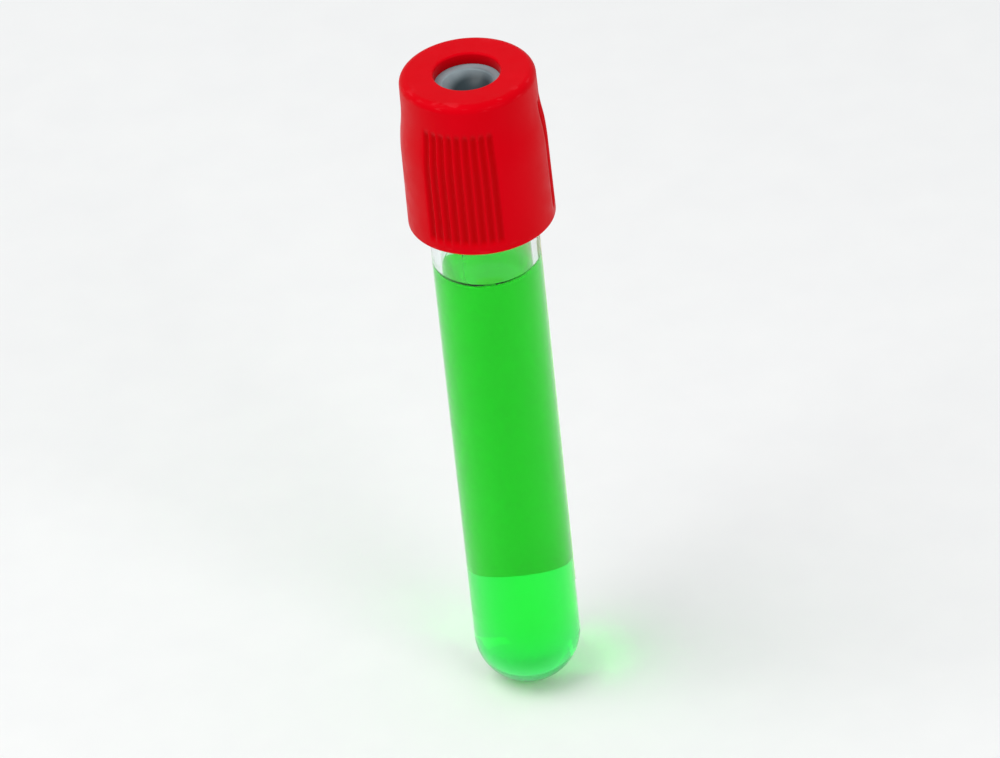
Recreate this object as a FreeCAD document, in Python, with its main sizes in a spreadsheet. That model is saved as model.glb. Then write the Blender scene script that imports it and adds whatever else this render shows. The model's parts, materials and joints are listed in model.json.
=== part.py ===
import FreeCAD, Part
import os
import Sketcher

# Stoppered sample tube: a round-bottomed glass test tube with its filling and label, closed by
# a rubber stopper that is held inside a ribbed plastic shield.
# Millimetres, +Z up along the tube's axis. The origin is the lowest point of the round bottom.
# The tube with its filling and label is one moving group, and the closure (stopper and shield)
# is the other: the closure pulls straight up out of the mouth.

DIMENSIONS = (
    # the glass
    ("tube_radius", 6.5),
    ("glass_wall", 1.05),
    ("glass_length", 80.5),
    ("bottom_thickness", 1.15),
    ("straight_top", 66.5),
    ("rim_radius", 6.35),
    ("rim_rounding", 0.4),
    # the filling
    ("liquid_level", 60.4),
    ("meniscus_radius", 1.8),
    ("contact_angle", 25.0),
    # the label
    ("label_thickness", 0.1),
    ("label_bottom", 13.0),
    ("label_top", 64.0),
    ("label_start_angle", -5.0),
    ("label_sweep", 125.0),
    # the stopper
    ("plug_radius", 5.22),
    ("seal_radius", 5.41),
    ("seal_height", 0.9),
    ("seal_pitch", 2.6),
    ("plug_depth", 9.5),
    ("plug_tip_radius", 4.9),
    ("plug_lead", 1.6),
    ("plug_bore_radius", 3.1),
    ("plug_bore_depth", 8.2),
    ("rim_gap", 0.05),
    ("flange_radius", 6.95),
    ("flange_height", 5.55),
    ("dimple_radius", 3.1),
    ("dimple_depth", 1.7),
    # the shield
    ("plate_thickness", 1.5),
    ("port_radius", 3.95),
    ("port_rounding", 0.3),
    ("collar_top_radius", 8.05),
    ("collar_base_radius", 8.1),
    ("collar_height", 2.9),
    ("collar_rounding", 1.0),
    ("shoulder_height", 7.2),
    ("skirt_top_radius", 8.66),
    ("skirt_base_radius", 8.78),
    ("skirt_bottom", 67.5),
    ("skirt_edge_rounding", 0.25),
    ("skirt_mouth_radius", 7.8),
    ("skirt_throat_radius", 7.4),
    ("lip_radius", 6.75),
    ("lip_height", 0.6),
    ("lip_lead", 0.6),
    # the finger grip round the skirt: groups of fine upright grooves with smooth panels between
    ("groove_width", 0.6),
    ("groove_depth", 0.3),
    ("groove_bottom", 69.0),
    ("groove_top", 83.5),
    ("groove_pitch_angle", 7.0),
    ("grooves_per_group", 9),
    ("groove_groups", 3),
    ("grip_turn", -133.0),
)

doc = FreeCAD.newDocument("SampleTube")
dims = doc.addObject("Spreadsheet::Sheet", "dims")
for row, (name, value) in enumerate(DIMENSIONS, 1):
    dims.set("A%d" % row, name)
    dims.set("B%d" % row, str(value))
    dims.setAlias("B%d" % row, name)
doc.recompute()

# Heights and radii that follow from the driving dimensions.
BORE = "(dims.tube_radius - dims.glass_wall)"
SEAT = "(dims.glass_length + dims.rim_gap)"
FLANGE_TOP = "(%s + dims.flange_height)" % SEAT
CLOSURE_TOP = "(%s + dims.plate_thickness)" % FLANGE_TOP
PLUG_TIP = "(%s - dims.plug_depth)" % SEAT
COLLAR_BASE = "(%s - dims.collar_height)" % CLOSURE_TOP
SKIRT_TOP = "(%s - dims.shoulder_height)" % COLLAR_BASE
# The shoulder between collar and skirt is two equal arcs that run into each other.
SHOULDER_RISE = "(dims.shoulder_height / 2)"
SHOULDER_RUN = "((dims.skirt_top_radius - dims.collar_base_radius) / 2)"
SHOULDER_CURVE = "((%s ^ 2 + %s ^ 2) / (2 * %s))" % (SHOULDER_RISE, SHOULDER_RUN, SHOULDER_RUN)


def measure(expression):
    """The number that an expression over the sheet comes to."""
    return float(dims.evalExpression(expression))


def new_body(name):
    body = doc.addObject("PartDesign::Body", name)
    body.Label = name
    return body


def origin_feature(body, role):
    return next(item for item in body.Origin.OriginFeatures if item.Role == role)


def new_sketch(body, name, role="XZ_Plane"):
    sketch = body.newObject("Sketcher::SketchObject", name)
    sketch.AttachmentSupport = [(origin_feature(body, role), "")]
    sketch.MapMode = "FlatFace"
    return sketch


def pin_coordinate(sketch, direction, geometry, point, expression):
    """Tie one coordinate of a sketch point to the sheet, or to the sketch axis where it is 0."""
    if expression == "0":
        axis = -2 if direction == "DistanceX" else -1
        sketch.addConstraint(Sketcher.Constraint("PointOnObject", geometry, point, axis))
        return
    value = measure(expression)
    index = sketch.addConstraint(Sketcher.Constraint(direction, -1, 1, geometry, point, value))
    sketch.setExpression("Constraints[%d]" % index, expression)


def draw_outline(sketch, corners, arcs=None):
    """Draw a closed outline through corners given as (radius, height) expressions.

    arcs names the stretches that are round: the number of the corner where one begins, with
    the expression for its centre's radius and whether it turns anticlockwise.
    """
    arcs = arcs or {}
    places = [FreeCAD.Vector(measure(across), measure(up), 0) for across, up in corners]
    ends = []
    for number, start in enumerate(places):
        stop = places[(number + 1) % len(places)]
        if number not in arcs:
            geometry = sketch.addGeometry(Part.LineSegment(start, stop))
            ends.append((geometry, 1, 2))
            continue
        centre_across, anticlockwise = arcs[number]
        middle = arc_centre(start, stop, measure(centre_across))
        first, last = (start, stop) if anticlockwise else (stop, start)
        circle = Part.Circle(middle, FreeCAD.Vector(0, 0, 1), middle.distanceToPoint(start))
        span = Part.ArcOfCircle(circle, circle.parameter(first), circle.parameter(last))
        geometry = sketch.addGeometry(span)
        ends.append((geometry, 1, 2) if anticlockwise else (geometry, 2, 1))
        pin_coordinate(sketch, "DistanceX", geometry, 3, centre_across)
    for number, (geometry, start_point, stop_point) in enumerate(ends):
        following, next_start, _ = ends[(number + 1) % len(ends)]
        joint = Sketcher.Constraint("Coincident", geometry, stop_point, following, next_start)
        sketch.addConstraint(joint)
        across, up = corners[number]
        pin_coordinate(sketch, "DistanceX", geometry, start_point, across)
        pin_coordinate(sketch, "DistanceY", geometry, start_point, up)


def arc_centre(start, stop, across):
    """The point at this radius that is as far from start as it is from stop."""
    reach_start = (start.x - across) ** 2 + start.y ** 2
    reach_stop = (stop.x - across) ** 2 + stop.y ** 2
    return FreeCAD.Vector(across, (reach_stop - reach_start) / (2 * (stop.y - start.y)), 0)


def revolve(body, name, corners, arcs=None, sweep=None):
    """Turn an outline about the tube's axis, all the way round unless sweep names an angle."""
    sketch = new_sketch(body, name + "_outline")
    draw_outline(sketch, corners, arcs)
    revolution = body.newObject("PartDesign::Revolution", name + "_turned")
    revolution.Profile = (sketch, [""])
    revolution.ReferenceAxis = (sketch, ["V_Axis"])
    revolution.Angle = 360
    if sweep:
        revolution.setExpression("Angle", sweep)
    doc.recompute()
    return revolution


def round_off(body, base, name, radius, places):
    """Fillet the circular edges of base at the given (radius, height) expressions."""
    wanted = [(measure(across), measure(up)) for across, up in places]
    edges = []
    for number, edge in enumerate(base.Shape.Edges, 1):
        if edge.Degenerated or not isinstance(edge.Curve, Part.Circle):
            continue
        found = (edge.Curve.Radius, edge.Curve.Center.z)
        if any(abs(found[0] - r) < 1e-4 and abs(found[1] - z) < 1e-4 for r, z in wanted):
            edges.append("Edge%d" % number)
    if len(edges) != len(wanted):
        raise RuntimeError("%s: found %d of %d edges" % (name, len(edges), len(wanted)))
    fillet = body.newObject("PartDesign::Fillet", name)
    fillet.Base = (base, edges)
    fillet.setExpression("Radius", radius)
    doc.recompute()
    return fillet


def build_glass_tube():
    """A drawn glass tube: round bottom, straight body, and a slightly narrowed, rounded mouth."""
    body = new_body("glass_tube")
    corners = (
        ("0", "0"),
        ("dims.tube_radius", "dims.tube_radius"),
        ("dims.tube_radius", "dims.straight_top"),
        ("dims.rim_radius", "dims.glass_length"),
        (BORE, "dims.glass_length"),
        (BORE, "dims.bottom_thickness + %s" % BORE),
        ("0", "dims.bottom_thickness"),
    )
    turned = revolve(body, "glass", corners, {0: ("0", True), 5: ("0", False)})
    rim = (("dims.rim_radius", "dims.glass_length"), (BORE, "dims.glass_length"))
    round_off(body, turned, "rim_rounding", "dims.rim_rounding", rim)
    return body


def build_liquid():
    """The filling, which wets the wall: its surface curves up to meet the glass."""
    body = new_body("liquid")
    # The contact angle is between the wall and the surface, and the curve starts out level.
    flat_radius = "%s - dims.meniscus_radius * cos(dims.contact_angle * 1 deg)" % BORE
    climb = "dims.meniscus_radius * (1 - sin(dims.contact_angle * 1 deg))"
    corners = (
        ("0", "dims.bottom_thickness"),
        (BORE, "dims.bottom_thickness + %s" % BORE),
        (BORE, "dims.liquid_level + %s" % climb),
        (flat_radius, "dims.liquid_level"),
        ("0", "dims.liquid_level"),
    )
    revolve(body, "filling", corners, {0: ("0", True), 2: (flat_radius, False)})
    return body


def build_label():
    """A paper label stuck part of the way round the outside of the glass."""
    body = new_body("label")
    outside = "dims.tube_radius + dims.label_thickness"
    corners = (
        ("dims.tube_radius", "dims.label_bottom"),
        (outside, "dims.label_bottom"),
        (outside, "dims.label_top"),
        ("dims.tube_radius", "dims.label_top"),
    )
    revolve(body, "paper", corners, sweep="dims.label_sweep")
    body.setExpression("Placement.Rotation.Angle", "dims.label_start_angle")
    return body


def build_stopper():
    """A moulded rubber stopper: hollow plug with two sealing rings, flange, dimple on top."""
    body = new_body("stopper")
    corners = [("0", "%s - dims.dimple_depth" % FLANGE_TOP), ("dims.dimple_radius", FLANGE_TOP)]
    corners += [("dims.flange_radius", FLANGE_TOP), ("dims.flange_radius", SEAT)]
    corners += [("dims.plug_radius", SEAT)]
    for ring in (1, 2):
        middle = "%s - %d * dims.seal_pitch" % (SEAT, ring)
        corners += [
            ("dims.plug_radius", "%s + dims.seal_height / 2" % middle),
            ("dims.seal_radius", "%s + dims.seal_height / 6" % middle),
            ("dims.seal_radius", "%s - dims.seal_height / 6" % middle),
            ("dims.plug_radius", "%s - dims.seal_height / 2" % middle),
        ]
    bore_top = "%s + dims.plug_bore_depth" % PLUG_TIP
    corners += [
        ("dims.plug_radius", "%s + dims.plug_lead" % PLUG_TIP),
        ("dims.plug_tip_radius", PLUG_TIP),
        ("dims.plug_bore_radius", PLUG_TIP),
        ("dims.plug_bore_radius", "%s - dims.plug_bore_radius / 2" % bore_top),
        ("0", bore_top),
    ]
    dome = len(corners) - 2
    revolve(body, "rubber", corners, {0: ("0", True), dome: ("0", True)})
    return body


def build_cap_shield():
    """A moulded plastic shield: ported plate, collar, shoulder, and a grooved skirt."""
    body = new_body("cap_shield")
    lip_bottom = "%s - dims.lip_height" % SEAT
    corners = (
        ("dims.port_radius", FLANGE_TOP),
        ("dims.flange_radius", FLANGE_TOP),
        ("dims.flange_radius", SEAT),
        ("dims.lip_radius", SEAT),
        ("dims.lip_radius", lip_bottom),
        ("dims.skirt_throat_radius", "%s - dims.lip_lead" % lip_bottom),
        ("dims.skirt_mouth_radius", "dims.skirt_bottom"),
        ("dims.skirt_base_radius", "dims.skirt_bottom"),
        ("dims.skirt_top_radius", SKIRT_TOP),
        ("dims.skirt_top_radius - %s" % SHOULDER_RUN, "%s + %s" % (SKIRT_TOP, SHOULDER_RISE)),
        ("dims.collar_base_radius", COLLAR_BASE),
        ("dims.collar_top_radius", CLOSURE_TOP),
        ("dims.port_radius", CLOSURE_TOP),
    )
    shoulder = {
        8: ("dims.skirt_top_radius - %s" % SHOULDER_CURVE, True),
        9: ("dims.collar_base_radius + %s" % SHOULDER_CURVE, False),
    }
    turned = revolve(body, "shield", corners, shoulder)
    top_edge = (("dims.collar_top_radius", CLOSURE_TOP),)
    rounded = round_off(body, turned, "collar_rounding", "dims.collar_rounding", top_edge)
    port_edge = (("dims.port_radius", CLOSURE_TOP),)
    rounded = round_off(body, rounded, "port_rounding", "dims.port_rounding", port_edge)
    hem = (("dims.skirt_base_radius", "dims.skirt_bottom"),)
    rounded = round_off(body, rounded, "hem_rounding", "dims.skirt_edge_rounding", hem)
    cut_grip(body)
    body.setExpression("Placement.Rotation.Angle", "dims.grip_turn")
    return body


def cut_grip(body):
    """Cut one groove into the skirt, repeat it in a group, and the group round the skirt."""
    before = body.Shape.Volume
    # The floor follows the skirt and the shoulder, and the ends run out at 45 degrees.
    clear = "dims.skirt_base_radius + 2 * dims.groove_depth"
    floor_low = "dims.skirt_base_radius - dims.groove_depth"
    floor_high = "dims.collar_base_radius - dims.groove_depth"
    corners = (
        (floor_low, "dims.groove_bottom"),
        (clear, "dims.groove_bottom - (%s) + (%s)" % (clear, floor_low)),
        (clear, "dims.groove_top + (%s) - (%s)" % (clear, floor_high)),
        (floor_high, "dims.groove_top"),
        (
            "dims.skirt_top_radius - %s - dims.groove_depth" % SHOULDER_RUN,
            "%s + %s" % (SKIRT_TOP, SHOULDER_RISE),
        ),
        ("dims.skirt_top_radius - dims.groove_depth", SKIRT_TOP),
    )
    sketch = new_sketch(body, "groove_outline")
    draw_outline(sketch, corners)
    groove = body.newObject("PartDesign::Pocket", "groove")
    groove.Profile = (sketch, [""])
    groove.SideType = "Symmetric"
    groove.setExpression("Length", "dims.groove_width")
    doc.recompute()
    single = before - body.Shape.Volume
    axis = (origin_feature(body, "Z_Axis"), [""])
    grip = body.newObject("PartDesign::MultiTransform", "grip")
    group = doc.addObject("PartDesign::PolarPattern", "groove_group")
    group.Axis = axis
    group.Mode = "Spacing"
    group.setExpression("Offset", "dims.groove_pitch_angle")
    group.setExpression("Occurrences", "dims.grooves_per_group")
    around = doc.addObject("PartDesign::PolarPattern", "groups_round_skirt")
    around.Axis = axis
    around.Angle = 360
    around.setExpression("Occurrences", "dims.groove_groups")
    body.addObject(group)
    body.addObject(around)
    grip.Originals = [groove]
    grip.Transformations = [group, around]
    body.Tip = grip
    doc.recompute()
    count = measure("dims.grooves_per_group * dims.groove_groups")
    removed = before - body.Shape.Volume
    if single <= 0 or abs(removed - count * single) > 0.05 * removed:
        raise RuntimeError("the grip took %.2f mm3, not %d x %.3f" % (removed, count, single))


def check_document(bodies):
    """Stop before anything is written if a feature failed or a piece isn't one valid solid."""
    doc.recompute()
    for item in doc.Objects:
        if "Invalid" in item.State or "Error" in item.State:
            raise RuntimeError("%s is %s" % (item.Name, item.State))
        if item.TypeId == "Sketcher::SketchObject" and not item.FullyConstrained:
            raise RuntimeError("%s is not fully constrained" % item.Name)
    for body in bodies:
        if body.Shape.isNull() or not body.Shape.isValid() or len(body.Shape.Solids) != 1:
            raise RuntimeError("%s is not one valid solid" % body.Label)


def write_parts(bodies):
    os.makedirs("parts", exist_ok=True)
    for body in bodies:
        body.Shape.exportStep("parts/%s.step" % body.Label)
        print("%-11s %9.2f mm3" % (body.Label, body.Shape.Volume))


pieces = [
    build_glass_tube(),
    build_liquid(),
    build_label(),
    build_stopper(),
    build_cap_shield(),
]
check_document(pieces)
write_parts(pieces)
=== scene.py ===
import json
import math

import bpy
from mathutils import Matrix, Quaternion, Vector


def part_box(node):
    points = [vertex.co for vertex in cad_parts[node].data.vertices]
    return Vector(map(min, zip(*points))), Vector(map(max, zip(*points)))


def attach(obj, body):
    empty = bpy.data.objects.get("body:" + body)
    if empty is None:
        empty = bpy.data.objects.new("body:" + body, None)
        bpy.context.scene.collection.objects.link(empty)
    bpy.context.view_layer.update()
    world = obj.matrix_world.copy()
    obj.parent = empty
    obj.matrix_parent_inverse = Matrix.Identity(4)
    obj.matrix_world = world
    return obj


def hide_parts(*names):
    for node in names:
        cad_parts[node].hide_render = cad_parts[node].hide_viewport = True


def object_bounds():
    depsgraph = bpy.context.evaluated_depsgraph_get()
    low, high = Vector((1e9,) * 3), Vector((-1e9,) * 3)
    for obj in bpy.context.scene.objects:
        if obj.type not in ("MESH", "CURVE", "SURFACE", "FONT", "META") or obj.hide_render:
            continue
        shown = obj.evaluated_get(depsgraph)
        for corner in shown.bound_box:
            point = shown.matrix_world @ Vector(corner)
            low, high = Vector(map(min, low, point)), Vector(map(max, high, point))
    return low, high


# A stoppered sample tube: clear glass, green liquid, grey rubber stopper in a ribbed red shield,
# and a paper label on the far side. Metres, in the CAD model's frame: the tube's axis is Z.

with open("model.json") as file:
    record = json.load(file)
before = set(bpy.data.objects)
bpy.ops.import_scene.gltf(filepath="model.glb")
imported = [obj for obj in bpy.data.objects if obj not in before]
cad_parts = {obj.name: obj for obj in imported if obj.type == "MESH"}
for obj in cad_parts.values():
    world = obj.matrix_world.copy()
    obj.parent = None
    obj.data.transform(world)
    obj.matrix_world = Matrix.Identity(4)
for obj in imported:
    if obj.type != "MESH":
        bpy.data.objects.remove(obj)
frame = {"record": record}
CAD_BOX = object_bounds()
MOUNTS = {mount["name"]: mount for mount in frame["record"]["mounts"]}
MM = 0.001


def node_radius(node):
    low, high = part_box(node)
    return (high.x - low.x) / 2


def node_heights(node):
    low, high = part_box(node)
    return low.z, high.z


# --- sizes that come from the CAD model -------------------------------------------------------
TUBE_RADIUS = MOUNTS["tube_body"]["dims"]["r_mm"] * MM
PORT_RADIUS = MOUNTS["needle_port"]["dims"]["r_mm"] * MM
BORE_RADIUS = node_radius("liquid")
GLASS_TOP = node_heights("glass_tube")[1]
LIQUID_BOTTOM, LIQUID_EDGE = node_heights("liquid")
LABEL_BOTTOM, LABEL_TOP = node_heights("label")
PLUG_TIP, FLANGE_TOP = node_heights("stopper")
FLANGE_RADIUS = node_radius("stopper")
SKIRT_BOTTOM, CLOSURE_TOP = node_heights("cap_shield")
SKIRT_RADIUS = node_radius("cap_shield")

# --- finer sizes, which follow the CAD model's ------------------------------------------------
STRAIGHT_TOP = 66.5 * MM
RIM_RADIUS = 6.35 * MM
RIM_ROUNDING = 0.42 * MM
MENISCUS_RADIUS = 1.8 * MM
CONTACT_ANGLE = math.radians(25)
LIQUID_LEVEL = LIQUID_EDGE - MENISCUS_RADIUS * (1 - math.sin(CONTACT_ANGLE))
SEAT = GLASS_TOP + 0.05 * MM
LABEL_START, LABEL_SWEEP = math.radians(-5), math.radians(125)
LABEL_THICKNESS = 0.1 * MM
GRIP_MIDDLE = math.radians(-105)
GROOVE_PITCH = math.radians(7)
GROOVES = 9
GROOVE_GROUPS = 3
GROOVE_DEPTH = 0.3 * MM
GROOVE_BOTTOM, GROOVE_TOP = 69.0 * MM, 83.5 * MM
COLLAR_TOP_RADIUS, COLLAR_BASE_RADIUS, SKIRT_TOP_RADIUS = 8.05 * MM, 8.1 * MM, 8.66 * MM
COLLAR_BASE = CLOSURE_TOP - 2.9 * MM
SKIRT_TOP = COLLAR_BASE - 7.2 * MM

# Neighbours that touch in glass overlap a little, so that light meets no air between them.
WETTED = 0.04 * MM
GLUED = 0.02 * MM

# How finely round shapes are divided.
DOME_STEPS = 48
ROUND_GLASS = 192
ROUND_RUBBER = 160
CORNER_TURN = math.radians(8)
ON_AXIS = 1e-9


# --- outlines and meshes ----------------------------------------------------------------------
def arc(across, up, radius, start, stop, steps):
    """Points on a circle about (across, up), from one angle to another in degrees."""
    points = []
    for step in range(steps + 1):
        angle = math.radians(start + (stop - start) * step / steps)
        points.append((across + radius * math.cos(angle), up + radius * math.sin(angle)))
    return points


def softened(corners, closed=False):
    """An outline through (radius, height, rounding) corners, each rounded by a tangent arc."""
    outline = []
    count = len(corners)
    for number, (across, up, rounding) in enumerate(corners):
        here = Vector((across, up))
        if not rounding or (not closed and number in (0, count - 1)):
            outline.append((across, up))
            continue
        back = Vector(corners[number - 1][:2]) - here
        ahead = Vector(corners[(number + 1) % count][:2]) - here
        half = back.angle(ahead) / 2
        bisector = (back.normalized() + ahead.normalized()).normalized()
        centre = here + bisector * (rounding / math.sin(half))
        first = here + back.normalized() * (rounding / math.tan(half)) - centre
        last = here + ahead.normalized() * (rounding / math.tan(half)) - centre
        turn = first.angle_signed(last)
        steps = max(4, math.ceil(abs(turn) / CORNER_TURN))
        for step in range(steps + 1):
            swung = first.copy()
            swung.rotate(Matrix.Rotation(-turn * step / steps, 2))
            outline.append(tuple(centre + swung))
    return outline


def even_angles(count):
    return [2 * math.pi * step / count for step in range(count)]


def make_object(name, vertices, faces):
    """A new smooth-shaded object in the scene, with this mesh."""
    mesh = bpy.data.meshes.new(name)
    mesh.from_pydata(vertices, [], faces)
    mesh.validate()
    mesh.shade_smooth()
    piece = bpy.data.objects.new(name, mesh)
    bpy.context.scene.collection.objects.link(piece)
    return piece


def lathe(name, outline, angles, ring=False, carve=None):
    """Turn an outline about Z. It ends on the axis at both ends, or joins up where ring is set.

    With the material on its left, the outline gives faces that look outwards.
    carve(angle, radius, height) gives what is taken off a point's radius, which the mesh also
    keeps as its attribute cut_depth.
    """
    vertices, rows, cuts = [], [], []
    for across, up in outline:
        if across < ON_AXIS:
            rows.append([len(vertices)])
            vertices.append((0.0, 0.0, up))
            cuts.append(0.0)
            continue
        rows.append(range(len(vertices), len(vertices) + len(angles)))
        for angle in angles:
            cuts.append(carve(angle, across, up) if carve else 0.0)
            reach = across - cuts[-1]
            vertices.append((reach * math.cos(angle), reach * math.sin(angle), up))
    faces = []
    pairs = list(zip(rows, rows[1:])) + ([(rows[-1], rows[0])] if ring else [])
    for row, following in pairs:
        for step in range(len(angles)):
            after = (step + 1) % len(angles)
            if len(row) == 1:
                faces.append((row[0], following[after], following[step]))
            elif len(following) == 1:
                faces.append((row[step], row[after], following[0]))
            else:
                faces.append((row[step], row[after], following[after], following[step]))
    piece = make_object(name, vertices, faces)
    if carve:
        depth = piece.data.attributes.new("cut_depth", "FLOAT", "POINT")
        depth.data.foreach_set("value", cuts)
    return piece


def finish_piece(piece, node, body, material):
    """Even out the shading, give the piece its material, hide the CAD part it stands for, and put it under
    its body.
    """
    shading = piece.modifiers.new("even_shading", "WEIGHTED_NORMAL")
    shading.keep_sharp = True
    piece.data.materials.append(material)
    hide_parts(node)
    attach(piece, body)


# --- materials --------------------------------------------------------------------------------
def srgb(red, green, blue):
    """A colour given as 0 to 255, as the shader's linear colour."""
    def linear(value):
        value /= 255
        return value / 12.92 if value <= 0.04045 else ((value + 0.055) / 1.055) ** 2.4
    return (linear(red), linear(green), linear(blue), 1.0)


class Recipe:
    """A Principled material, and short calls for the nodes that feed it.

    What is the same all over the surface is given as plain values, for the shader's own sockets.
    """

    def __init__(self, name, **plain):
        self.material = bpy.data.materials.new(name)
        self.material.use_nodes = True
        self.tree = self.material.node_tree
        self.shader = self.tree.nodes["Principled BSDF"]
        self.output = self.tree.nodes["Material Output"]
        for socket, value in plain.items():
            self.shader.inputs[socket.replace("_", " ")].default_value = value
        self.place = self.add("TexCoord").outputs["Object"]

    def add(self, kind, settings=None, **inputs):
        """A new node. An input is given by its name, or as _0, _1 and so on by its number."""
        node = self.tree.nodes.new("ShaderNode" + kind)
        for name, value in (settings or {}).items():
            setattr(node, name, value)
        for name, value in inputs.items():
            socket = node.inputs[int(name[1:]) if name[1:].isdigit() else name]
            if isinstance(value, bpy.types.NodeSocket):
                self.tree.links.new(value, socket)
            else:
                socket.default_value = value
        return node

    def feed(self, socket, value):
        self.tree.links.new(value, self.shader.inputs[socket])

    def from_axis(self, centre=(0, 0, 0)):
        """Distance from the tube's axis, or from an upright line through another centre."""
        offset = self.add("VectorMath", {"operation": "SUBTRACT"}, _0=self.place, _1=centre).outputs[0]
        across = self.add("VectorMath", {"operation": "MULTIPLY"}, _0=offset, _1=(1, 1, 0)).outputs[0]
        return self.add("VectorMath", {"operation": "LENGTH"}, _0=across).outputs[1]

    def maths(self, operation, first, second=0.0, third=0.0):
        """What the operation makes of up to three numbers or sockets."""
        node = self.add("Math", {"operation": operation}, _0=first, _1=second, _2=third)
        return node.outputs[0]

    def noise(self, grain, detail=3.0, stretch=(1, 1, 1), offset=0.0):
        """Noise whose blotches are about grain metres across, stretched along the axes."""
        place = self.add(
            "Mapping", _0=self.place, _1=(offset, offset, offset), _3=tuple(1 / s for s in stretch)
        ).outputs[0]
        return self.add("TexNoise", Vector=place, Scale=1 / grain, Detail=detail).outputs[0]

    def between(self, value, low, high, to_low, to_high, easing="LINEAR"):
        """Stretch the part of value from low to high over to_low to to_high, and clamp it."""
        ease = {"interpolation_type": easing}
        node = self.add("MapRange", ease, _0=value, _1=low, _2=high, _3=to_low, _4=to_high)
        return node.outputs[0]

    def blend(self, share, first, second):
        """The first colour where share is 0, the second where it is 1, and a mix between."""
        node = self.add("Mix", {"data_type": "RGBA"}, _0=share, _6=first, _7=second)
        return node.outputs[2]

    def bumps(self, height, depth, below=None):
        """A normal with height's bumps, depth metres deep, on top of the normal below."""
        node = self.add("Bump", Height=height, Distance=depth, Strength=1.0)
        if below is not None:
            self.tree.links.new(below, node.inputs["Normal"])
        return node.outputs[0]


def glass_material():
    """Clear glass. Where the liquid wets it, its surface gives no reflection of its own."""
    glass = Recipe("clear_glass", Transmission_Weight=1.0, IOR=1.48, Roughness=0.0)
    height = glass.add("SeparateXYZ", _0=glass.place).outputs[2]
    below_dome = glass.maths("MINIMUM", glass.maths("SUBTRACT", height, LIQUID_BOTTOM + BORE_RADIUS), 0)
    offset = glass.maths("POWER", glass.from_axis(), 2)
    reach = glass.maths("SQRT", glass.maths("ADD", offset, glass.maths("POWER", below_dome, 2)))
    inner_wall = glass.maths("LESS_THAN", reach, BORE_RADIUS + 0.2 * MM)
    wetted = glass.maths("MULTIPLY", inner_wall, glass.maths("LESS_THAN", height, LIQUID_EDGE))
    glass.feed("Specular Tint", glass.blend(wetted, (0.6, 0.6, 0.6, 1), (0, 0, 0, 1)))
    smears = glass.noise(3 * MM, 4, stretch=(1, 1, 3))
    glass.feed("Roughness", glass.between(smears, 0.45, 0.75, 0.0, 0.035))
    tint = glass.blend(smears, srgb(253, 255, 255), srgb(249, 254, 253))
    glass.feed("Base Color", tint)
    draw_lines = glass.noise(2.2 * MM, 2, stretch=(1, 1, 14))
    glass.feed("Normal", glass.bumps(draw_lines, 0.004 * MM))
    depth = glass.add("VolumeAbsorption", Color=srgb(196, 236, 226), Density=40.0)
    glass.tree.links.new(depth.outputs[0], glass.output.inputs["Volume"])
    return glass.material


def liquid_material():
    """Clear green liquid. Only its open surface reflects: the rest of it lies against the glass."""
    liquid = Recipe("green_liquid", Transmission_Weight=1.0, IOR=1.33, Roughness=0.0)
    height = liquid.add("SeparateXYZ", _0=liquid.place).outputs[2]
    within = liquid.maths("LESS_THAN", liquid.from_axis(), BORE_RADIUS + WETTED / 2)
    surface = liquid.maths("MULTIPLY", within, liquid.maths("GREATER_THAN", height, LIQUID_LEVEL - WETTED))
    liquid.feed("Specular Tint", liquid.blend(surface, (0, 0, 0, 1), (1, 1, 1, 1)))
    cloud = liquid.noise(6 * MM, 2)
    liquid.feed("Base Color", liquid.blend(cloud, srgb(250, 255, 250), srgb(244, 255, 246)))
    dye = liquid.add("VolumeAbsorption", Color=(0.0, 0.997, 0.45, 1), Density=450.0)
    liquid.tree.links.new(dye.outputs[0], liquid.output.inputs["Volume"])
    return liquid.material


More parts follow.
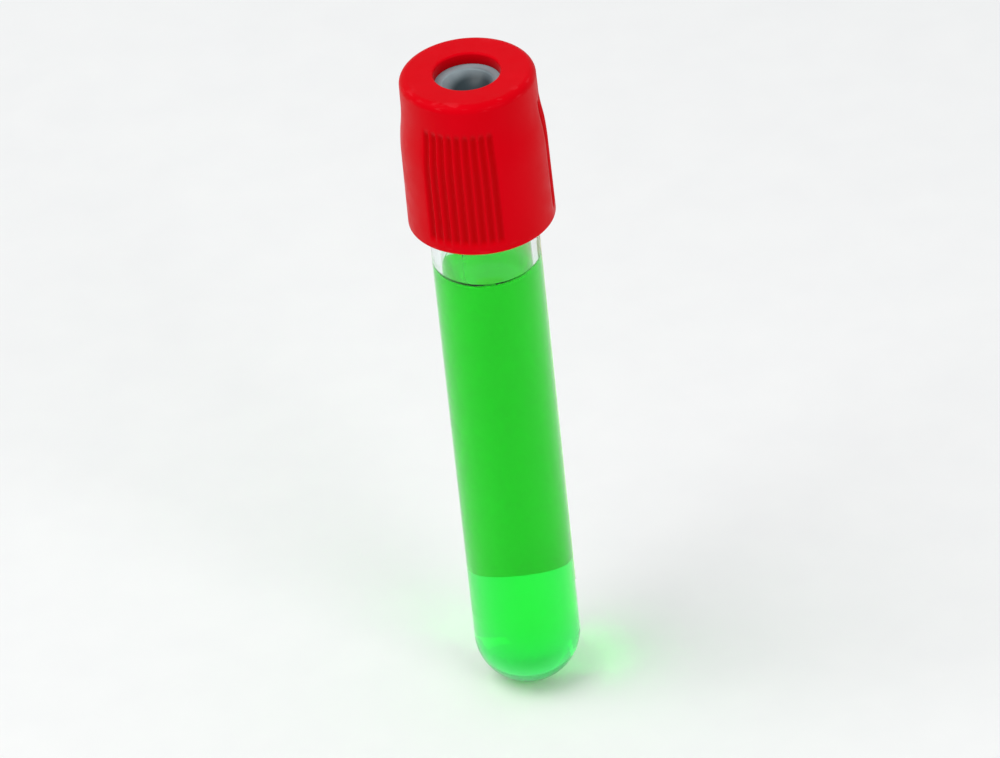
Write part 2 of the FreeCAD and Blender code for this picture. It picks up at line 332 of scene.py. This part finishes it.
def shield_material():
    """Red moulded plastic, with painted shade in its grooves and at the foot of the port, and worn edges.
    """
    red = Recipe(
        "red_polyethylene", IOR=1.5, Specular_IOR_Level=0.05, Specular_Tint=(1.0, 0.25, 0.4, 1.0)
    )
    flow = red.noise(5 * MM, 3, stretch=(1, 1, 2.5))
    colour = red.blend(flow, srgb(212, 0, 18), srgb(198, 0, 10))
    # Painted shade: the grooves are coloured darker the deeper they are cut, as shade falls in them.
    cut = red.add("Attribute", {"attribute_name": "cut_depth"}).outputs["Fac"]
    colour = red.blend(red.between(cut, 0.0, GROOVE_DEPTH, 0.0, 1.0), colour, srgb(180, 0, 4))
    height = red.add("SeparateXYZ", _0=red.place).outputs[2]
    # Painted shade: the port's wall is coloured darker towards its foot, where shade falls at the stopper.
    in_port = red.maths("LESS_THAN", red.from_axis(), PORT_RADIUS + 0.15 * MM)
    port_foot = red.between(height, FLANGE_TOP, CLOSURE_TOP - 0.4 * MM, 1.0, 0.0)
    colour = red.blend(red.maths("MULTIPLY", in_port, port_foot), colour, srgb(158, 0, 6))
    grain = red.noise(0.3 * MM, 1)
    scuffs = red.noise(0.9 * MM, 6, stretch=(2.5, 2.5, 0.5), offset=0.3)
    low_edge = red.between(height, SKIRT_BOTTOM, SKIRT_BOTTOM + 1.2 * MM, 1.0, 0.0)
    high_edge = red.between(height, CLOSURE_TOP - 1.0 * MM, CLOSURE_TOP - 0.4 * MM, 0.0, 1.0)
    outward = red.between(red.from_axis(), COLLAR_TOP_RADIUS - 1.5 * MM, COLLAR_TOP_RADIUS - 0.7 * MM, 0, 1)
    edges = red.maths("MAXIMUM", low_edge, red.maths("MULTIPLY", high_edge, outward))
    worn = red.maths("MULTIPLY", red.between(scuffs, 0.58, 0.68, 0.0, 0.2), edges)
    red.feed("Base Color", red.blend(worn, colour, srgb(232, 70, 80)))
    roughness = red.between(red.noise(1.6 * MM, 4), 0.3, 0.7, 0.32, 0.46)
    red.feed("Roughness", red.maths("MULTIPLY_ADD", worn, 0.25, roughness))
    waves = red.bumps(red.noise(2.5 * MM, 1, stretch=(1, 1, 2)), 0.02 * MM)
    red.feed("Normal", red.bumps(grain, 0.002 * MM, below=waves))
    return red.material


def rubber_material():
    """Grey rubber, with painted shade in the dimple, darkest a little off its centre."""
    rubber = Recipe("grey_rubber", IOR=1.5)
    mottle = rubber.noise(1.3 * MM, 4)
    grey = rubber.blend(mottle, srgb(146, 162, 166), srgb(124, 139, 144))
    # Painted shade: the dimple is coloured dark, darkest a little off its centre, where shade falls in it.
    shade_centre = (0.35 * MM, 0.2 * MM, 0)
    from_shade_centre = rubber.from_axis(shade_centre)
    inward = rubber.between(from_shade_centre, 1.9 * MM, 3.25 * MM, 1.0, 0.0, easing="SMOOTHSTEP")
    height = rubber.add("SeparateXYZ", _0=rubber.place).outputs[2]
    dimple = rubber.maths("MULTIPLY", inward, rubber.maths("GREATER_THAN", height, SEAT))
    rubber.feed("Base Color", rubber.blend(dimple, grey, srgb(18, 41, 47)))
    rubber.feed("Roughness", rubber.between(mottle, 0.3, 0.7, 0.4, 0.5))
    rubber.feed("Normal", rubber.bumps(rubber.noise(0.12 * MM, 3), 0.004 * MM))
    return rubber.material


def paper_material():
    """White label paper, cream on its glued side. It has a coloured band, ruled writing lines,
    a fill mark and two tick boxes.
    """
    paper = Recipe(
        "label_paper",
        IOR=1.45,
        Subsurface_Weight=1.0,
        Subsurface_Radius=(1.0, 1.0, 1.0),
        Subsurface_Scale=0.15 * MM,
    )
    split = paper.add("SeparateXYZ", _0=paper.place).outputs
    angle = paper.maths("ARCTAN2", split[1], split[0])
    along = paper.maths("MULTIPLY", paper.maths("SUBTRACT", angle, LABEL_START), TUBE_RADIUS)
    up = split[2]
    width = LABEL_SWEEP * TUBE_RADIUS

    def stripe(value, middle, thickness):
        return paper.maths("COMPARE", value, middle, thickness / 2)

    def patch(across, rise, wide, high):
        return paper.maths("MULTIPLY", stripe(along, across, wide), stripe(up, rise, high))

    def join(masks):
        total = masks[0]
        for mask in masks[1:]:
            total = paper.maths("MAXIMUM", total, mask)
        return total

    fibres = paper.noise(0.5 * MM, 5, stretch=(1, 1, 2))
    outer_face = paper.maths("GREATER_THAN", paper.from_axis(), TUBE_RADIUS + LABEL_THICKNESS / 2)
    sheet = paper.blend(fibres, srgb(251, 250, 247), srgb(244, 243, 239))
    sheet = paper.blend(outer_face, srgb(250, 247, 214), sheet)
    band = join([stripe(up, LABEL_TOP - 2 * MM, 4 * MM), stripe(up, LABEL_TOP - 5 * MM, 0.3 * MM)])
    line_middle = (LABEL_BOTTOM + LABEL_TOP) / 2 - 1 * MM
    lines = [patch(width * share, line_middle, 0.14 * MM, 32 * MM) for share in (0.25, 0.5, 0.75)]
    boxes = []
    for share in (0.33, 0.67):
        outside = patch(width * share, LABEL_BOTTOM + 3.6 * MM, 2.4 * MM, 2.4 * MM)
        inside = patch(width * share, LABEL_BOTTOM + 3.6 * MM, 2.1 * MM, 2.1 * MM)
        boxes.append(paper.maths("SUBTRACT", outside, inside))
    fill_mark = patch(width - 1.2 * MM, LABEL_TOP - 7.5 * MM, 2.4 * MM, 0.25 * MM)
    margin = patch(width / 2, (LABEL_BOTTOM + LABEL_TOP) / 2, width - 2 * MM, LABEL_TOP - LABEL_BOTTOM)
    printed = paper.maths("MULTIPLY", outer_face, margin)
    ink = paper.maths("MULTIPLY", printed, paper.between(paper.noise(0.2 * MM, 2), 0.2, 0.5, 0.8, 1.0))
    ruled = paper.maths("MULTIPLY", join(lines + boxes + [fill_mark]), ink)
    colour = paper.blend(paper.maths("MULTIPLY", band, ink), sheet, srgb(196, 20, 34))
    paper.feed("Base Color", paper.blend(ruled, colour, srgb(70, 76, 82)))
    paper.feed("Roughness", paper.between(fibres, 0.3, 0.7, 0.5, 0.66))
    paper.feed("Normal", paper.bumps(fibres, 0.01 * MM))
    return paper.material


# --- pieces -----------------------------------------------------------------------------------
def build_glass():
    """The glass tube: a round bottom, straight sides, and a rounded rim a little drawn in."""
    radius, bore = TUBE_RADIUS, BORE_RADIUS
    drawing_in = 4 * MM
    outside = arc(0, radius, radius, -90, 0, DOME_STEPS)[:-1]
    wall = softened([
        (radius, radius, 0),
        (radius, STRAIGHT_TOP, drawing_in),
        (RIM_RADIUS, GLASS_TOP, RIM_ROUNDING),
        (bore, GLASS_TOP, RIM_ROUNDING),
        (bore, LIQUID_BOTTOM + bore, 0),
    ])
    inside = arc(0, LIQUID_BOTTOM + bore, bore, 0, -90, DOME_STEPS)[1:]
    piece = lathe("tube_glass", outside + wall + inside, even_angles(ROUND_GLASS))
    finish_piece(piece, "glass_tube", "tube", glass_material())


def build_liquid():
    """The liquid: it meets the glass all round, and its surface climbs the wall."""
    reach = BORE_RADIUS + WETTED
    level = LIQUID_LEVEL
    flat = BORE_RADIUS - MENISCUS_RADIUS * math.cos(CONTACT_ANGLE)
    bottom = arc(0, LIQUID_BOTTOM + BORE_RADIUS, reach, -90, 0, DOME_STEPS)
    contact = -math.degrees(CONTACT_ANGLE)
    surface = arc(flat, level + MENISCUS_RADIUS, MENISCUS_RADIUS, contact, -90, steps=14)
    surface += [(flat * share, level) for share in (0.8, 0.5, 0.2)]
    outline = bottom + [(reach, LIQUID_EDGE + WETTED)] + surface + [(0, level)]
    piece = lathe("green_liquid", outline, even_angles(ROUND_GLASS))
    finish_piece(piece, "liquid", "tube", liquid_material())


def build_label():
    """A thin paper sheet with rounded corners, wrapped on the glass."""
    corner = 1.2 * MM
    width = LABEL_SWEEP * TUBE_RADIUS
    corner_count, middle_count, rows = 8, 60, 12
    edge_steps = []
    for step in range(corner_count):
        edge_steps.append(corner * (1 - math.cos(math.pi / 2 * step / corner_count)))
    middle_steps = []
    for step in range(middle_count + 1):
        middle_steps.append(corner + (width - 2 * corner) * step / middle_count)
    columns = edge_steps + middle_steps + [width - along for along in reversed(edge_steps)]
    vertices, faces = [], []
    for radius in (TUBE_RADIUS - GLUED, TUBE_RADIUS + LABEL_THICKNESS):
        for along in columns:
            angle = LABEL_START + along / TUBE_RADIUS
            inward = max(0, corner - min(along, width - along))
            inset = corner - math.sqrt(max(0, corner ** 2 - inward ** 2))
            for row in range(rows + 1):
                share = row / rows
                up = LABEL_BOTTOM + inset + (LABEL_TOP - LABEL_BOTTOM - 2 * inset) * share
                vertices.append((radius * math.cos(angle), radius * math.sin(angle), up))
    count = len(columns)

    def at(layer, column, row):
        """The number of a vertex: layer 0 is the glued side and layer 1 the outer face."""
        return (layer * count + column) * (rows + 1) + row

    for column in range(count - 1):
        for row in range(rows):
            square = [(column, row), (column + 1, row), (column + 1, row + 1), (column, row + 1)]
            faces.append([at(1, *place) for place in square])
            faces.append([at(0, *place) for place in reversed(square)])
    border = [(column, 0) for column in range(count)]
    border += [(count - 1, row) for row in range(1, rows + 1)]
    border += [(column, rows) for column in range(count - 2, -1, -1)]
    border += [(0, row) for row in range(rows - 1, 0, -1)]
    for first, second in zip(border, border[1:] + border[:1]):
        faces.append([at(0, *first), at(0, *second), at(1, *second), at(1, *first)])
    piece = make_object("paper_label", vertices, faces)
    sharp_angle = math.radians(50)
    piece.data.set_sharp_from_angle(angle=sharp_angle)
    finish_piece(piece, "label", "tube", paper_material())


def build_stopper():
    """The rubber stopper: dimpled top, flange on the rim, and a hollow plug with two rings."""
    plug, seal, tip_radius, hollow = 5.22 * MM, 5.41 * MM, 4.9 * MM, 3.1 * MM
    lead, hollow_depth, hollow_cone = 1.6 * MM, 8.2 * MM, 1.55 * MM
    ring_pitch, ring_foot, ring_crown, ring_rounding = 2.6 * MM, 0.45 * MM, 0.15 * MM, 0.1 * MM
    dimple_radius, dimple_depth = 3.1 * MM, 1.7 * MM
    bowl = (dimple_radius ** 2 + dimple_depth ** 2) / (2 * dimple_depth)
    spread = math.degrees(math.asin(dimple_radius / bowl))
    top = arc(0, FLANGE_TOP - dimple_depth + bowl, bowl, -90, -90 + spread, steps=14)
    corners = [
        (dimple_radius, FLANGE_TOP, 0),
        (FLANGE_RADIUS, FLANGE_TOP, 0.15 * MM),
        (FLANGE_RADIUS, SEAT, 0.25 * MM),
        (plug, SEAT, 0.15 * MM),
    ]
    for ring in (1, 2):
        middle = SEAT - ring * ring_pitch
        corners += [
            (plug, middle + ring_foot, ring_rounding),
            (seal, middle + ring_crown, ring_rounding),
            (seal, middle - ring_crown, ring_rounding),
            (plug, middle - ring_foot, ring_rounding),
        ]
    corners += [
        (plug, PLUG_TIP + lead, 0.6 * MM),
        (tip_radius, PLUG_TIP, 0.3 * MM),
        (hollow, PLUG_TIP, 0.25 * MM),
        (hollow, PLUG_TIP + hollow_depth - hollow_cone, 0.8 * MM),
        (0, PLUG_TIP + hollow_depth, 0),
    ]
    outline = top[:-1] + softened(corners)
    outline.reverse()
    piece = lathe("rubber_stopper", outline, even_angles(ROUND_RUBBER))
    finish_piece(piece, "stopper", "closure", rubber_material())


def grip_angles():
    """Angles round the shield: close together over the grooves, wider on the smooth panels."""
    steps_a_groove, steps_a_panel = 16, 24
    fine = GROOVE_PITCH / steps_a_groove
    group = GROOVES * GROOVE_PITCH
    fine_count = GROOVES * steps_a_groove
    panel = 2 * math.pi / GROOVE_GROUPS - group
    angles = []
    for number in range(GROOVE_GROUPS):
        start = GRIP_MIDDLE + number * 2 * math.pi / GROOVE_GROUPS - group / 2
        angles += [start + fine * step for step in range(fine_count)]
        angles += [start + group + panel * step / steps_a_panel for step in range(steps_a_panel)]
    return angles


def groove_cut(angle, radius, height):
    """How far a groove takes the skirt's surface in at this place."""
    innermost = FLANGE_RADIUS + 0.9 * MM
    if radius < innermost:
        return 0.0
    sector = 2 * math.pi / GROOVE_GROUPS
    turn = (angle - GRIP_MIDDLE + sector / 2) % sector - sector / 2
    if abs(turn) > (GROOVES / 2) * GROOVE_PITCH:
        return 0.0
    offset = (turn + GROOVE_PITCH / 2) % GROOVE_PITCH - GROOVE_PITCH / 2
    half_width = 0.46 * GROOVE_PITCH
    if abs(offset) > half_width:
        return 0.0
    profile = math.cos(math.pi / 2 * offset / half_width)
    run_out = 1.0 * MM
    ends = min(height - GROOVE_BOTTOM, GROOVE_TOP - height)
    rise = min(1.0, max(0.0, 0.5 + ends / run_out))
    eased = rise * rise * (3 - 2 * rise)
    return GROOVE_DEPTH * profile * eased


def build_shield():
    """The moulded red shield: top plate with its port, collar, shoulder, and grooved skirt."""
    mouth, throat, lip = 7.8 * MM, 7.4 * MM, 6.75 * MM
    lip_height, lip_lead = 0.6 * MM, 0.6 * MM
    lip_bottom = SEAT - lip_height
    half_run = (SKIRT_TOP_RADIUS - COLLAR_BASE_RADIUS) / 2
    half_rise = (COLLAR_BASE - SKIRT_TOP) / 2
    curve = (half_rise ** 2 + half_run ** 2) / (2 * half_run)
    swing = math.degrees(math.asin(half_rise / curve))
    shoulder = arc(SKIRT_TOP_RADIUS - curve, SKIRT_TOP, curve, 0, swing, steps=12)
    shoulder += arc(COLLAR_BASE_RADIUS + curve, COLLAR_BASE, curve, 180 + swing, 180, steps=12)[1:]
    corners = [
        (PORT_RADIUS, FLANGE_TOP, 0.08 * MM),
        (FLANGE_RADIUS, FLANGE_TOP, 0),
        (FLANGE_RADIUS, SEAT, 0),
        (lip, SEAT, 0.08 * MM),
        (lip, lip_bottom, 0.2 * MM),
        (throat, lip_bottom - lip_lead, 0.3 * MM),
        (mouth, SKIRT_BOTTOM, 0.2 * MM),
        (SKIRT_RADIUS, SKIRT_BOTTOM, 0.28 * MM),
    ]
    corners += [(across, up, 0) for across, up in shoulder]
    corners += [
        (COLLAR_TOP_RADIUS, CLOSURE_TOP, 1.0 * MM),
        (PORT_RADIUS, CLOSURE_TOP, 0.3 * MM),
    ]
    # The skirt's long straight side takes the grooves, so it is divided along its height.
    long_side, side_steps = 5 * MM, 64
    outline = []
    rounded = softened(corners, closed=True)
    for point, following in zip(rounded, rounded[1:] + rounded[:1]):
        outline.append(point)
        if point[0] > mouth and following[1] - point[1] > long_side:
            for step in range(1, side_steps):
                outline.append(tuple(Vector(point).lerp(Vector(following), step / side_steps)))
    piece = lathe("red_shield", outline, grip_angles(), ring=True, carve=groove_cut)
    finish_piece(piece, "cap_shield", "closure", shield_material())


# --- stage, lights and camera -----------------------------------------------------------------
def build_floor():
    half, gap = 3.0, 0.05 * MM
    corners = [(-half, -half, 0), (half, -half, 0), (half, half, 0), (-half, half, 0)]
    floor = make_object("floor", corners, [(0, 1, 2, 3)])
    floor.location.z = CAD_BOX[0].z - gap
    matt = Recipe("pale_table", Roughness=0.6, Specular_IOR_Level=0.2)
    shade = matt.blend(matt.noise(8 * MM, 3), srgb(236, 236, 234), srgb(231, 231, 230))
    matt.feed("Base Color", shade)
    floor.data.materials.append(matt.material)


def area_light(name, place, target, size, power):
    light = bpy.data.lights.new(name, "AREA")
    light.size = size
    light.energy = power
    lamp = bpy.data.objects.new(name, light)
    lamp.location = place
    lamp.rotation_euler = (target - Vector(place)).to_track_quat("-Z", "Y").to_euler()
    bpy.context.scene.collection.objects.link(lamp)


def build_lights(target):
    world = bpy.data.worlds.new("studio")
    world.use_nodes = True
    sky = world.node_tree.nodes["Background"]
    sky.inputs["Color"].default_value = (0.95, 0.97, 1.0, 1)
    sky.inputs["Strength"].default_value = 0.65
    bpy.context.scene.world = world
    area_light("key_soft_box", (-0.45, -0.15, 0.85), target, size=0.65, power=5.0)
    area_light("low_soft_box", (0.6, -0.85, 0.65), target, size=0.55, power=4.0)


def build_camera(target):
    """The camera looks down on the tube from the front, and leans so that the tube does too."""
    elevation = math.radians(34.4)
    distance = 0.949
    lean = math.radians(-6.2)
    camera = bpy.data.cameras.new("camera")
    camera.sensor_width = 36
    camera.lens = 285
    camera.clip_start, camera.clip_end = 0.05, 20
    eye = bpy.data.objects.new("camera", camera)
    back = Vector((0, -math.cos(elevation), math.sin(elevation)))
    eye.location = target + back * distance
    eye.rotation_mode = "QUATERNION"
    upright = (-back).to_track_quat("-Z", "Y")
    eye.rotation_quaternion = upright @ Quaternion((0, 0, 1), lean)
    bpy.context.scene.collection.objects.link(eye)
    bpy.context.scene.camera = eye


middle = (CAD_BOX[0] + CAD_BOX[1]) / 2
build_camera(middle)
build_glass()
build_liquid()
build_label()
build_stopper()
build_shield()
build_floor()
build_lights(middle)

scene = bpy.context.scene
scene.view_settings.view_transform = "Standard"
scene.cycles.max_bounces = 48
scene.cycles.transmission_bounces = 48
scene.cycles.blur_glossy = 0.0
